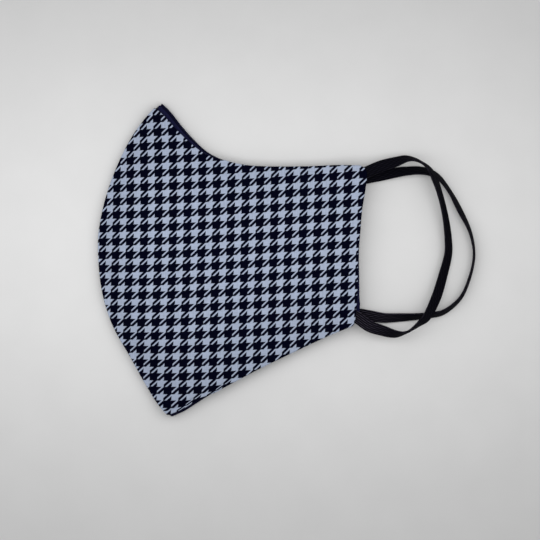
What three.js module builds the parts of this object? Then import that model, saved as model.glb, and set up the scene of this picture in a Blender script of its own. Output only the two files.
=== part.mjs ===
// Fitted cloth face mask with two ear loops, folded flat along its curved centre seam and lying on a table.
// Millimetres, +Z up. +X runs from the centre seam to the ear loops, +Y from the chin to the nose.
import * as THREE from 'three';
import { mergeVertices } from 'three/addons/utils/BufferGeometryUtils.js';

// Plan of the folded mask: where its four corners lie
const SEAM_HEIGHT = 141; // nose tip to chin tip, along Y
const CHIN_SHIFT = 4.2; // the chin tip lies this much nearer the ears than the nose tip
const NOSE_REACH = 91.7; // nose tip to the upper side corner, along X
const NOSE_DROP = 28.8; // and along Y
const SIDE_HEIGHT = 70.6; // upper side corner to the lower one, along Y
const SIDE_LEAN = 5.4; // and along X

// How far each edge bows from the straight line between its corners
const SEAM_BOW = 30.1;
const NOSE_BOW = 16.1;
const SIDE_BOW = 1.05;
const CHIN_BOW = 1.6;

// Cloth walls
const OUTER_THICKNESS = 1;
const LINING_THICKNESS = 1;
const CLOTH_GAP = 0.35; // between two walls that lie on each other
const EDGE_ROUND = 0.3; // rounding of a folded cloth edge

// The hollow between the two linings
const HOLLOW_EDGE = 1; // along the nose and chin edges
const HOLLOW_SIDE = 5.2; // half way down the side edge
const HOLLOW_CREST = 6; // at the crest
const HOLLOW_SPREAD = 30; // the distance from the nose, chin and seam edges in which it opens
const CREST_SPREAD = 45; // the distance from the side edge at which the crest begins

// The centre seam, where both outer panels meet
const SEAM_GAP = 0.3;
const SEAM_LIFT = 1.6; // the seam stands off the table by this
const SEAM_LIFT_WIDTH = 5;
const SEAM_ROLL = 18; // width of the rounded edge at the middle of the seam
const SEAM_ROLL_TIP = 8; // and at its two tips
const TIP_LENGTH = 16; // the stretch at each tip in which the linings come out to the seam
const LINING_INSET = 5; // the linings end this far inside the seam
const LINING_INSET_TIP = 0.8;

// How far the edges of the panels sit back from the lower lining, which shows most
const NOSE_BACK = { outer_panel_upper: 4.2, lining_upper: 2.4, lining_lower: 0, outer_panel_lower: 1 };
const CHIN_BACK = { outer_panel_upper: 1.2, lining_upper: 0.8, lining_lower: 0, outer_panel_lower: 0.5 };
const NOSE_FADE = 0.38; // the share of the nose edge over which a panel sits back
const CHIN_FADE = 0.22; // and of the chin edge
const BACK_POWER = 0.6; // how fast that fades

// How far the edges of the panels stand out where the side opening rolls open
const SIDE_OUT = { outer_panel_upper: 0, lining_upper: 0.9, lining_lower: 0.9, outer_panel_lower: 0.3 };
const SIDE_ROLL_PLACE = 0.34; // share of the side edge, from its lower corner, where they stand out most
const SIDE_ROLL_REACH = 0.32; // share of the side edge over which that fades, each way

// Flat braided elastic of the ear loops
const ELASTIC_WIDTH = 5;
const ELASTIC_THICKNESS = 0.9;
const ELASTIC_CLEARANCE = 0.35; // to the cloth above and below a sewn end
const ELASTIC_SEWN = 4; // length of a sewn end between outer panel and lining
const POCKET_RADIUS = 5; // the layers stand apart this far round a sewn end
const POCKET_FADE = 12;
const LOOP_REACH = 51.4; // from the line between its sewn ends to the far side of the wider loop
const LOOP_CLEARANCE = 0.75; // between the loops where the upper one crosses the standing lower one
const LOOP_HUMP = ELASTIC_WIDTH + LOOP_CLEARANCE; // height of the upper loop's underside there

// Shape of each edge: along = share of its straight line, bow = share of its bow
const SEAM_SHAPE = [
  { along: 0, bow: 0 },
  { along: 0.05, bow: 0.24 },
  { along: 0.11, bow: 0.457 },
  { along: 0.2, bow: 0.685 },
  { along: 0.3, bow: 0.868 },
  { along: 0.4, bow: 0.98 },
  { along: 0.48, bow: 1 },
  { along: 0.57, bow: 0.975 },
  { along: 0.65, bow: 0.9 },
  { along: 0.72, bow: 0.78 },
  { along: 0.8, bow: 0.58 },
  { along: 0.88, bow: 0.385 },
  { along: 0.95, bow: 0.195 },
  { along: 1, bow: 0 },
];
const NOSE_SHAPE = [
  { along: 0, bow: 0 },
  { along: 0.055, bow: 0.17 },
  { along: 0.13, bow: 0.475 },
  { along: 0.2, bow: 0.72 },
  { along: 0.27, bow: 0.915 },
  { along: 0.34, bow: 0.995 },
  { along: 0.42, bow: 1 },
  { along: 0.53, bow: 0.875 },
  { along: 0.71, bow: 0.545 },
  { along: 0.87, bow: 0.21 },
  { along: 1, bow: 0 },
];
const SIDE_SHAPE = [
  { along: 0, bow: 0 },
  { along: 0.1, bow: -0.2 },
  { along: 0.28, bow: 0.65 },
  { along: 0.42, bow: 0.85 },
  { along: 0.55, bow: 0.9 },
  { along: 0.78, bow: 0.1 },
  { along: 1, bow: 0 },
];
const CHIN_SHAPE = [
  { along: 0, bow: 0 },
  { along: 0.07, bow: -0.19 },
  { along: 0.13, bow: 0.1 },
  { along: 0.24, bow: 0.66 },
  { along: 0.5, bow: 1 },
  { along: 0.76, bow: 0.7 },
  { along: 0.89, bow: 0.44 },
  { along: 1, bow: 0 },
];

// Where each loop is sewn in: drop = shares of the elastic's width from the corner along the side edge,
// heading = degrees from +X
const LOOP_ENDS = {
  ear_loop_upper: { top: { drop: 0.54, heading: 20 }, bottom: { drop: 0.76, heading: -26 } },
  ear_loop_lower: { top: { drop: 1, heading: 13 }, bottom: { drop: 1, heading: -11 } },
};

// Routes of the loops from the upper end to the lower one, as they lie.
// out = share of LOOP_REACH from the line between the ends, up = share of the way up that line,
// lift = share of LOOP_HUMP from the table to the underside, roll = degrees that the band leans from flat
const LOOP_ROUTES = {
  ear_loop_upper: [
    { out: 0.12, up: 1.05, lift: 0.79, roll: 10 },
    { out: 0.25, up: 1.09, lift: 0.62, roll: 34 },
    { out: 0.33, up: 1.115, lift: 0.47, roll: 54 },
    { out: 0.4, up: 1.115, lift: 0.53, roll: 71 },
    { out: 0.47, up: 1.095, lift: 0.71, roll: 79 },
    { out: 0.53, up: 1.06, lift: 0.9, roll: 68 },
    { out: 0.58, up: 1, lift: 1, roll: 56 },
    { out: 0.65, up: 0.88, lift: 0.79, roll: 60 },
    { out: 0.713, up: 0.74, lift: 0.45, roll: 57 },
    { out: 0.755, up: 0.6, lift: 0.24, roll: 50 },
    { out: 0.77, up: 0.49, lift: 0.16, roll: 46 },
    { out: 0.74, up: 0.34, lift: 0.27, roll: 37 },
    { out: 0.685, up: 0.17, lift: 0.73, roll: 29 },
    { out: 0.61, up: 0.03, lift: 0.88, roll: 44 },
    { out: 0.56, up: -0.013, lift: 0.75, roll: 62 },
    { out: 0.52, up: -0.044, lift: 0.62, roll: 75 },
    { out: 0.46, up: -0.08, lift: 0.53, roll: 84 },
    { out: 0.37, up: -0.1, lift: 0.54, roll: 56 },
    { out: 0.23, up: -0.08, lift: 0.77, roll: 22 },
    { out: 0.13, up: -0.06, lift: 0.89, roll: 9 },
  ],
  ear_loop_lower: [
    { out: 0.13, up: 1.03, lift: 0.06, roll: 12 },
    { out: 0.24, up: 1.055, lift: 0.03, roll: 27 },
    { out: 0.35, up: 1.075, lift: 0.02, roll: 41 },
    { out: 0.46, up: 1.087, lift: 0.02, roll: 47 },
    { out: 0.55, up: 1.08, lift: 0.02, roll: 53 },
    { out: 0.63, up: 1.05, lift: 0.02, roll: 62 },
    { out: 0.735, up: 0.955, lift: 0.02, roll: 68 },
    { out: 0.842, up: 0.817, lift: 0.02, roll: 61 },
    { out: 0.948, up: 0.66, lift: 0.02, roll: 73 },
    { out: 0.995, up: 0.5, lift: 0.02, roll: 80 },
    { out: 0.97, up: 0.32, lift: 0.02, roll: 77 },
    { out: 0.903, up: 0.17, lift: 0.02, roll: 73 },
    { out: 0.765, up: 0.059, lift: 0.02, roll: 66 },
    { out: 0.66, up: 0.032, lift: 0.02, roll: 64 },
    { out: 0.53, up: 0.012, lift: 0.02, roll: 59 },
    { out: 0.4, up: -0.003, lift: 0.02, roll: 47 },
    { out: 0.26, up: -0.016, lift: 0.03, roll: 35 },
    { out: 0.14, up: -0.01, lift: 0.06, roll: 18 },
  ],
};

// Fineness of the meshes
const PANEL_STEPS_ACROSS = 22;
const PANEL_STEPS_ALONG = 22;
const SEAM_CROWDING = 1.3; // power that moves the steps towards the seam
const ACROSS_CROWDING = 0.25; // share of a step that moves to the seam and side edges
const ALONG_CROWDING = 0.6; // and to the nose and chin edges
const STEPS_PER_LOOP_STATION = 4;
const EDGE_SAMPLES = 160;
const SLOPE_STEP = 0.05; // mm from a point to those that its slope is taken from
const WELD_DISTANCE = 1e-4;

const HOUNDSTOOTH_COLOR = 0x5b6478;
const LINING_COLOR = 0x1c1c32;
const ELASTIC_COLOR = 0x15151d;
const CLOTH_ROUGHNESS = 0.9;

const clamp01 = (x) => Math.min(1, Math.max(0, x));
const lerp = (from, to, share) => from + (to - from) * share;
const smooth = (x) => clamp01(x) ** 2 * (3 - 2 * clamp01(x));
const swell = (x) => Math.sin((Math.PI / 2) * clamp01(x));

// Corners of the plan, with the nose tip at the plan's origin
const noseTip = new THREE.Vector2(0, 0);
const chinTip = new THREE.Vector2(CHIN_SHIFT, -SEAM_HEIGHT);
const topCorner = new THREE.Vector2(NOSE_REACH, -NOSE_DROP);
const bottomCorner = new THREE.Vector2(NOSE_REACH - SIDE_LEAN, -NOSE_DROP - SIDE_HEIGHT);

// A smooth edge from one corner to another, bowed to the left of its direction where the bow is positive
function edgeCurve(start, end, bow, shape) {
  const line = end.clone().sub(start);
  const left = new THREE.Vector2(-line.y, line.x).normalize();
  const points = shape.map((row) =>
    start.clone().addScaledVector(line, row.along).addScaledVector(left, row.bow * bow));
  return new THREE.SplineCurve(points);
}

// The seam and side tables run from the nose down, their edges from the chin up
const upward = (shape) => shape.map((row) => ({ along: 1 - row.along, bow: row.bow })).reverse();

const seamEdge = edgeCurve(chinTip, noseTip, SEAM_BOW, upward(SEAM_SHAPE));
const noseEdge = edgeCurve(noseTip, topCorner, -NOSE_BOW, NOSE_SHAPE);
const sideEdge = edgeCurve(bottomCorner, topCorner, SIDE_BOW, upward(SIDE_SHAPE));
const chinEdge = edgeCurve(chinTip, bottomCorner, CHIN_BOW, CHIN_SHAPE);

// The distance in plan from a point to an edge
function edgeDistance(samples, x, y) {
  let nearest = Infinity;
  for (let i = 1; i < samples.length; i += 1) {
    const a = samples[i - 1];
    const b = samples[i];
    const dx = b.x - a.x;
    const dy = b.y - a.y;
    const share = clamp01(((x - a.x) * dx + (y - a.y) * dy) / (dx * dx + dy * dy));
    nearest = Math.min(nearest, Math.hypot(x - a.x - share * dx, y - a.y - share * dy));
  }
  return nearest;
}

const seamSamples = seamEdge.getSpacedPoints(EDGE_SAMPLES);
const noseSamples = noseEdge.getSpacedPoints(EDGE_SAMPLES);
const sideSamples = sideEdge.getSpacedPoints(EDGE_SAMPLES);
const chinSamples = chinEdge.getSpacedPoints(EDGE_SAMPLES);

// Where a loop's end is sewn in, on the side edge
function sewnPoint(name, end) {
  const share = (LOOP_ENDS[name][end].drop * ELASTIC_WIDTH) / sideEdge.getLength();
  return sideEdge.getPointAt(end === 'top' ? 1 - share : share);
}

const pocketCentres = ['top', 'bottom'].map((end) =>
  sewnPoint('ear_loop_upper', end).add(sewnPoint('ear_loop_lower', end)).divideScalar(2));

// Extra room between an outer panel and its lining round the sewn ends of the loops
function pocketRoom(x, y) {
  const room = ELASTIC_THICKNESS + 2 * ELASTIC_CLEARANCE - CLOTH_GAP;
  const shares = pocketCentres.map((centre) =>
    1 - smooth((Math.hypot(x - centre.x, y - centre.y) - POCKET_RADIUS) / POCKET_FADE));
  return room * Math.max(...shares);
}

// Height of the hollow between the two linings
function hollowHeight(x, y) {
  const fromEnds = swell(edgeDistance(noseSamples, x, y) / HOLLOW_SPREAD)
    * swell(edgeDistance(chinSamples, x, y) / HOLLOW_SPREAD);
  const fromSeam = swell(edgeDistance(seamSamples, x, y) / HOLLOW_SPREAD);
  const crest = lerp(HOLLOW_SIDE, HOLLOW_CREST, swell(edgeDistance(sideSamples, x, y) / CREST_SPREAD));
  return lerp(HOLLOW_EDGE, crest, fromEnds * fromSeam);
}

// 1 at the nose and chin tips of the seam, 0 past the stretch where the linings come out
function tipShare(x, y) {
  const fromNose = Math.hypot(x - noseTip.x, y - noseTip.y);
  const fromChin = Math.hypot(x - chinTip.x, y - chinTip.y);
  return smooth(1 - Math.min(fromNose, fromChin) / TIP_LENGTH);
}

// Middle surface of the lower outer panel: flat on the table, turned up at the seam
function lowerHeight(x, y) {
  const nearSeam = clamp01(1 - edgeDistance(seamSamples, x, y) / SEAM_LIFT_WIDTH);
  return OUTER_THICKNESS / 2 + SEAM_LIFT * (1 - tipShare(x, y)) * nearSeam ** 2;
}

// Middle surface of the upper outer panel: it rolls up from the seam over linings and hollow
function upperHeight(x, y) {
  const tip = tipShare(x, y);
  const endDistance = Math.min(edgeDistance(noseSamples, x, y), edgeDistance(chinSamples, x, y));
  const roll = lerp(SEAM_ROLL_TIP, SEAM_ROLL, swell(endDistance / HOLLOW_SPREAD));
  const rise = 1 - (1 - clamp01(edgeDistance(seamSamples, x, y) / roll)) ** 3;
  const atSeam = OUTER_THICKNESS + SEAM_GAP;
  const inside = OUTER_THICKNESS + 2 * LINING_THICKNESS + 2 * CLOTH_GAP + hollowHeight(x, y);
  const stack = lerp(atSeam, inside, 1 - (1 - rise) * (1 - tip));
  return lowerHeight(x, y) + stack + 2 * pocketRoom(x, y);
}

// Unit normal of a height field, pointing up
function upNormal(height, x, y) {
  const slopeX = (height(x + SLOPE_STEP, y) - height(x - SLOPE_STEP, y)) / (2 * SLOPE_STEP);
  const slopeY = (height(x, y + SLOPE_STEP) - height(x, y - SLOPE_STEP)) / (2 * SLOPE_STEP);
  return new THREE.Vector3(-slopeX, -slopeY, 1).normalize();
}

// The four edges of one panel in plan, each running with its share from seam to side or from chin to nose
function panelEdges(name, seamInset) {
  const seamLength = seamEdge.getLength();
  const fromChin = CHIN_BACK[name] / seamLength;
  const fromNose = 1 - NOSE_BACK[name] / seamLength;
  const seam = (share) => {
    const along = lerp(fromChin, fromNose, share);
    const tangent = seamEdge.getTangentAt(along);
    const inward = new THREE.Vector2(tangent.y, -tangent.x);
    return seamEdge.getPointAt(along).addScaledVector(inward, seamInset(share));
  };
  const shifted = (curve, corner, reach) => {
    const shift = corner.clone().sub(curve.getPointAt(0));
    const fade = (share) => clamp01(1 - share / reach) ** BACK_POWER;
    return (share) => curve.getPointAt(share).addScaledVector(shift, fade(share));
  };
  const side = (share) => {
    const out = SIDE_OUT[name] * smooth(1 - Math.abs(share - SIDE_ROLL_PLACE) / SIDE_ROLL_REACH);
    return sideEdge.getPointAt(share).add(new THREE.Vector2(out, 0));
  };
  const nose = shifted(noseEdge, seam(1), NOSE_FADE);
  const chin = shifted(chinEdge, seam(0), CHIN_FADE);
  return { seam, side, nose, chin };
}

// A point of the patch between four edges
function patchPoint(edges, across, along) {
  const point = new THREE.Vector2();
  point.addScaledVector(edges.seam(along), 1 - across);
  point.addScaledVector(edges.side(along), across);
  point.addScaledVector(edges.chin(across), 1 - along);
  point.addScaledVector(edges.nose(across), along);
  point.addScaledVector(edges.seam(0), -(1 - across) * (1 - along));
  point.addScaledVector(edges.side(0), -across * (1 - along));
  point.addScaledVector(edges.seam(1), -(1 - across) * along);
  point.addScaledVector(edges.side(1), -across * along);
  return point;
}

// Steps that are finer at both ends, and finest at the seam
const crowded = (share, crowding) => share - (crowding * Math.sin(2 * Math.PI * share)) / (2 * Math.PI);
const acrossShare = (step) => crowded(step ** SEAM_CROWDING, ACROSS_CROWDING);
const alongShare = (step) => crowded(step, ALONG_CROWDING);

// A panel of cloth: a thin slab bent to its middle surface, with rounded edges
function clothPanel(name, color, thickness, seamInset, place) {
  const edges = panelEdges(name, seamInset);
  const slab = new THREE.BoxGeometry(1, 1, 1, PANEL_STEPS_ACROSS, PANEL_STEPS_ALONG, 2);
  const positions = slab.attributes.position;
  for (let i = 0; i < positions.count; i += 1) {
    const depth = positions.getZ(i);
    const rounding = Math.abs(depth) > 0 ? EDGE_ROUND / NOSE_REACH : 0;
    const across = Math.min(1 - rounding, Math.max(rounding, acrossShare(positions.getX(i) + 0.5)));
    const along = Math.min(1 - rounding, Math.max(rounding, alongShare(positions.getY(i) + 0.5)));
    const plan = patchPoint(edges, across, along);
    const { middle, normal } = place(plan.x, plan.y);
    middle.addScaledVector(normal, depth * thickness);
    positions.setXYZ(i, middle.x, middle.y, middle.z);
  }
  return finishedMesh(name, slab, color);
}

// One closed mesh under its name
function finishedMesh(name, geometry, color) {
  geometry.deleteAttribute('normal');
  geometry.deleteAttribute('uv');
  const closed = mergeVertices(geometry, WELD_DISTANCE);
  closed.computeVertexNormals();
  const look = new THREE.MeshStandardMaterial({ color, roughness: CLOTH_ROUGHNESS, metalness: 0 });
  const mesh = new THREE.Mesh(closed, look);
  mesh.name = name;
  return mesh;
}

// Middle surfaces of the four panels: each lining follows its outer panel at a constant distance
function onSurface(height, side) {
  return (x, y) => {
    const normal = upNormal(height, x, y);
    const middle = new THREE.Vector3(x, y, height(x, y));
    if (side !== 0) {
      const apart = (OUTER_THICKNESS + LINING_THICKNESS) / 2 + CLOTH_GAP + pocketRoom(x, y);
      middle.addScaledVector(normal, side * apart);
    }
    return { middle, normal };
  };
}

const outerInset = () => 0;
const liningInset = (share) => {
  const fromTip = Math.min(share, 1 - share) * seamEdge.getLength();
  return lerp(LINING_INSET_TIP, LINING_INSET, swell(fromTip / TIP_LENGTH));
};

// Middle of an ear loop at its sewn end, between outer panel and lining
function sewnHeight(name, x, y) {
  const fromOuter = OUTER_THICKNESS / 2 + ELASTIC_CLEARANCE + ELASTIC_THICKNESS / 2;
  return name === 'ear_loop_upper' ? upperHeight(x, y) - fromOuter : lowerHeight(x, y) + fromOuter;
}

// The two route points of a sewn end: inside the hem and at the side edge
function sewnStations(name, end) {
  const point = sewnPoint(name, end);
  const heading = THREE.MathUtils.degToRad(LOOP_ENDS[name][end].heading);
  const outward = new THREE.Vector2(Math.cos(heading), Math.sin(heading));
  const across = new THREE.Vector2(-outward.y, outward.x).multiplyScalar(end === 'top' ? 1 : -1);
  return [-ELASTIC_SEWN, 0].map((distance) => {
    const at = point.clone().addScaledVector(outward, distance);
    const left = sewnHeight(name, at.x + across.x, at.y + across.y);
    const right = sewnHeight(name, at.x - across.x, at.y - across.y);
    const roll = THREE.MathUtils.radToDeg(Math.atan2(right - left, 2 * across.length()));
    return { at: new THREE.Vector3(at.x, at.y, sewnHeight(name, at.x, at.y)), roll };
  });
}

// Height of a band's middle over its underside where it leans by its roll
function halfHeight(roll) {
  const angle = THREE.MathUtils.degToRad(roll);
  return (ELASTIC_WIDTH * Math.sin(angle) + ELASTIC_THICKNESS * Math.cos(angle)) / 2;
}

// All stations of a loop, from inside the upper corner round to inside the lower one
function loopStations(name) {
  const top = sewnPoint(name, 'top');
  const bottom = sewnPoint(name, 'bottom');
  const up = top.clone().sub(bottom);
  const out = new THREE.Vector2(up.y, -up.x).normalize().multiplyScalar(LOOP_REACH);
  const free = LOOP_ROUTES[name].map((row) => {
    const at = bottom.clone().addScaledVector(up, row.up).addScaledVector(out, row.out);
    const lift = row.lift * LOOP_HUMP + halfHeight(row.roll);
    return { at: new THREE.Vector3(at.x, at.y, lift), roll: row.roll };
  });
  return [...sewnStations(name, 'top'), ...free, ...sewnStations(name, 'bottom').reverse()];
}

// A flat band along a route, leaning by its roll at each station
function earLoop(name) {
  const stations = loopStations(name);
  const route = new THREE.CatmullRomCurve3(stations.map((station) => station.at), false, 'centripetal');
  const rolls = new THREE.SplineCurve(stations.map((station, i) => new THREE.Vector2(i, station.roll)));
  const steps = (stations.length - 1) * STEPS_PER_LOOP_STATION;
  const band = new THREE.BoxGeometry(1, 1, 1, 1, steps, 1);
  const positions = band.attributes.position;
  const up = new THREE.Vector3(0, 0, 1);
  for (let i = 0; i < positions.count; i += 1) {
    const share = positions.getY(i) + 0.5;
    const tangent = route.getTangent(share);
    const wide = new THREE.Vector3().crossVectors(tangent, up).normalize();
    const thin = new THREE.Vector3().crossVectors(wide, tangent);
    const roll = THREE.MathUtils.degToRad(rolls.getPoint(share).y);
    wide.applyAxisAngle(tangent, -roll);
    thin.applyAxisAngle(tangent, -roll);
    const point = route.getPoint(share);
    point.addScaledVector(wide, positions.getX(i) * ELASTIC_WIDTH);
    point.addScaledVector(thin, positions.getZ(i) * ELASTIC_THICKNESS);
    positions.setXYZ(i, point.x, point.y, point.z);
  }
  return finishedMesh(name, band, ELASTIC_COLOR);
}

const outerPanel = (name, place) =>
  clothPanel(name, HOUNDSTOOTH_COLOR, OUTER_THICKNESS, outerInset, place);
const liningPanel = (name, place) =>
  clothPanel(name, LINING_COLOR, LINING_THICKNESS, liningInset, place);

const mask = new THREE.Group();
mask.name = 'cloth_face_mask';
mask.add(outerPanel('outer_panel_upper', onSurface(upperHeight, 0)));
mask.add(outerPanel('outer_panel_lower', onSurface(lowerHeight, 0)));
mask.add(liningPanel('lining_upper', onSurface(upperHeight, -1)));
mask.add(liningPanel('lining_lower', onSurface(lowerHeight, 1)));
mask.add(earLoop('ear_loop_upper'));
mask.add(earLoop('ear_loop_lower'));

// The part's origin is under the middle of its box
const box = new THREE.Box3().setFromObject(mask);
const centre = box.getCenter(new THREE.Vector3());
mask.position.set(-centre.x, -centre.y, -box.min.z);

const part = new THREE.Group();
part.add(mask);
part.updateMatrixWorld(true);

export default part;
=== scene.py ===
import math

import bmesh
import bpy
import numpy as np
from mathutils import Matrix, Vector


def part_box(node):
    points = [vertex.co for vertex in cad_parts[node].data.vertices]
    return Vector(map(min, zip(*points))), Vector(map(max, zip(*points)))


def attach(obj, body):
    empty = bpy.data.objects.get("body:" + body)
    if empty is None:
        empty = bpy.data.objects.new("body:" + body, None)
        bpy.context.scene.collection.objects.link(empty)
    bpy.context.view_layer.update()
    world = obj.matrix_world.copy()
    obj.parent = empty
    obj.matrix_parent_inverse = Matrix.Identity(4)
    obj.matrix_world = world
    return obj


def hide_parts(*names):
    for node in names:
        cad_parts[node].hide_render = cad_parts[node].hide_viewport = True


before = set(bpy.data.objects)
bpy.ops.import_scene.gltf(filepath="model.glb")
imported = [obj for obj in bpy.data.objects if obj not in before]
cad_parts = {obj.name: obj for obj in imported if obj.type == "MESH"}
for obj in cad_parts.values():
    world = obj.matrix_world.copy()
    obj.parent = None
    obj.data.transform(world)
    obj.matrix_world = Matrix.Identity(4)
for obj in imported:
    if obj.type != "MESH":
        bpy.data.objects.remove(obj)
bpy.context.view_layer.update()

bl_info = {
    "name": "Cloth face mask",
    "version": (1, 0, 0),
    "blender": (4, 5, 0),
    "location": "3D View > Sidebar > Mask",
    "description": "Cloth, lining and elastic of a folded face mask, and the table it lies on",
    "category": "Object",
}

MM = 0.001  # the tables below are in millimetres, as the solids' own sizes are

# Plan of the folded mask: where its four corners lie, from the nose tip
SEAM_HEIGHT = 141.0
CHIN_SHIFT = 4.2
NOSE_REACH = 91.7
NOSE_DROP = 28.8
SIDE_HEIGHT = 70.6
SIDE_LEAN = 5.4

# How far each edge bows from the straight line between its corners
SEAM_BOW = 30.1
NOSE_BOW = 16.1
SIDE_BOW = 1.05
CHIN_BOW = 1.6

# Cloth walls and the hollow between the two linings
WALL = 1.0
CLOTH_GAP = 0.35
HOLLOW_EDGE = 1.0
HOLLOW_SIDE = 5.2
HOLLOW_CREST = 6.0
HOLLOW_SPREAD = 30.0
CREST_SPREAD = 45.0

# The centre seam, where both outer panels meet
SEAM_GAP = 0.3
SEAM_LIFT = 1.6
SEAM_LIFT_WIDTH = 5.0
SEAM_ROLL = 18.0
SEAM_ROLL_TIP = 8.0
TIP_LENGTH = 16.0
LINING_INSET = 5.0
LINING_INSET_TIP = 0.2

# How far the edges of the panels sit back from the lower lining, which shows most
PANELS = ("outer_panel_upper", "lining_upper", "lining_lower", "outer_panel_lower")
NOSE_BACK = dict(zip(PANELS, (3.7, 1.5, 0.0, 1.0)))
CHIN_BACK = dict(zip(PANELS, (1.7, 1.2, 0.0, 0.6)))
NOSE_FADE = (0.38, 0.6)  # the share of the edge over which it sits back, and how fast that fades
CHIN_FADE = (0.24, 0.4)

# How far their edges stand out where the side opening rolls open
SIDE_OUT = dict(zip(PANELS, (0.0, 1.6, 1.75, 0.5)))
# As shares of the side edge from its lower corner: where they stand out in full, up to where, over what
# share that then fades to about a third, and how near the upper corner they have drawn in
SIDE_ROLL_START = 0.08
SIDE_ROLL_HOLD = 0.128
SIDE_ROLL_FADE = 0.2
SIDE_ROLL_END = 0.2

# Elastic of the ear loops, with the width and thickness that its route is worked out for
ELASTIC_CLEARANCE = 0.35
ELASTIC_SEWN = 4.0
ELASTIC_SOLID_WIDTH = 5.0
ELASTIC_SOLID = 0.9
POCKET_RADIUS = 5.0
POCKET_FADE = 12.0
LOOP_REACH = 51.4
LOOP_CLEARANCE = 0.75

# Shape of each edge: share along its straight line, share of its bow
SEAM_SHAPE = (
    (0, 0), (0.05, 0.24), (0.11, 0.457), (0.2, 0.685), (0.3, 0.868), (0.4, 0.98), (0.48, 1),
    (0.57, 0.975), (0.65, 0.9), (0.72, 0.78), (0.8, 0.58), (0.88, 0.385), (0.95, 0.195), (1, 0),
)
NOSE_SHAPE = (
    (0, 0), (0.055, 0.17), (0.13, 0.475), (0.2, 0.72), (0.27, 0.915), (0.34, 0.995), (0.42, 1),
    (0.53, 0.875), (0.71, 0.545), (0.87, 0.21), (1, 0),
)
SIDE_SHAPE = ((0, 0), (0.1, -0.2), (0.28, 0.65), (0.42, 0.85), (0.55, 0.9), (0.78, 0.1), (1, 0))
CHIN_SHAPE = (
    (0, 0), (0.07, -0.19), (0.13, 0.1), (0.24, 0.66), (0.5, 1), (0.76, 0.7), (0.89, 0.44), (1, 0),
)

# Where each loop is sewn in: share of the elastic's width from the corner, degrees from +X
LOOP_ENDS = {
    "ear_loop_upper": {"top": (0.54, 20), "bottom": (0.76, -26)},
    "ear_loop_lower": {"top": (1.0, 13), "bottom": (1.0, -11)},
}
# Routes of the loops: share of the reach outwards, share of the way up between the sewn ends,
# share of the hump from the table to the underside, degrees that the band leans from flat
LOOP_ROUTES = {
    "ear_loop_upper": (
        (0.12, 1.05, 0.79, 10), (0.25, 1.09, 0.62, 34), (0.33, 1.115, 0.47, 54), (0.4, 1.115, 0.53, 71),
        (0.47, 1.095, 0.71, 79), (0.53, 1.06, 0.9, 68), (0.58, 1, 1, 56), (0.65, 0.88, 0.79, 60),
        (0.713, 0.74, 0.45, 57), (0.755, 0.6, 0.24, 50), (0.77, 0.49, 0.16, 46), (0.74, 0.34, 0.27, 37),
        (0.685, 0.17, 0.73, 29), (0.61, 0.03, 0.88, 44), (0.56, -0.013, 0.75, 62),
        (0.52, -0.044, 0.62, 75), (0.46, -0.08, 0.53, 84), (0.37, -0.1, 0.54, 56),
        (0.23, -0.08, 0.77, 22), (0.13, -0.06, 0.89, 9),
    ),
    "ear_loop_lower": (
        (0.13, 1.03, 0.06, 12), (0.24, 1.055, 0.03, 27), (0.35, 1.075, 0.02, 41),
        (0.46, 1.087, 0.02, 47), (0.55, 1.08, 0.02, 53), (0.63, 1.05, 0.02, 62),
        (0.735, 0.955, 0.02, 68), (0.842, 0.817, 0.02, 61), (0.948, 0.66, 0.02, 73),
        (0.995, 0.5, 0.02, 80), (0.97, 0.32, 0.02, 77), (0.903, 0.17, 0.02, 73),
        (0.765, 0.059, 0.02, 66), (0.66, 0.032, 0.02, 64), (0.53, 0.012, 0.02, 59),
        (0.4, -0.003, 0.02, 47), (0.26, -0.016, 0.03, 35), (0.14, -0.01, 0.06, 18),
    ),
}

# Fineness of the new meshes
OUTER_STEPS = (150, 170)
LINING_STEPS = (100, 110)
RIM_CROWDING = 0.93  # how much of each step moves to the rims, where the cloth is rounded
EDGE_SAMPLES = 160
SLOPE_STEP = 0.05
BAND_PROFILE = 44
BAND_STEPS = 420

CLOTH_UV = "cloth"
MERGE = 1e-7


def clamp01(x):
    return np.clip(x, 0, 1)


def mix(low, high, share):
    return low + (high - low) * share


def smooth(x):
    return clamp01(x) ** 2 * (3 - 2 * clamp01(x))


def swell(x):
    return np.sin(math.pi / 2 * clamp01(x))


def crowded(share, crowding):
    """Moves evenly spaced shares towards both ends."""
    return share - crowding * np.sin(2 * math.pi * share) / (2 * math.pi)


def spline(knots, steps, power):
    """Points on the smooth curve through all knots but the first and last, which steer its ends."""
    p0, p1, p2, p3 = knots[:-3], knots[1:-2], knots[2:-1], knots[3:]
    pairs = ((p0, p1), (p1, p2), (p2, p3))
    d0, d1, d2 = (np.sum((b - a) ** 2, axis=1, keepdims=True) ** power for a, b in pairs)
    d0, d2 = np.where(d0 < MERGE, d1, d0), np.where(d2 < MERGE, d1, d2)
    start = ((p1 - p0) / d0 - (p2 - p0) / (d0 + d1) + (p2 - p1) / d1) * d1
    end = ((p2 - p1) / d1 - (p3 - p1) / (d1 + d2) + (p3 - p2) / d2) * d1
    t = np.linspace(0, 1, steps, endpoint=False)[:, None, None]
    spans = (
        p1 + start * t + (3 * (p2 - p1) - 2 * start - end) * t**2 + (2 * (p1 - p2) + start + end) * t**3
    )
    return np.vstack([spans.transpose(1, 0, 2).reshape(-1, knots.shape[1]), p2[-1:]])


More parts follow.
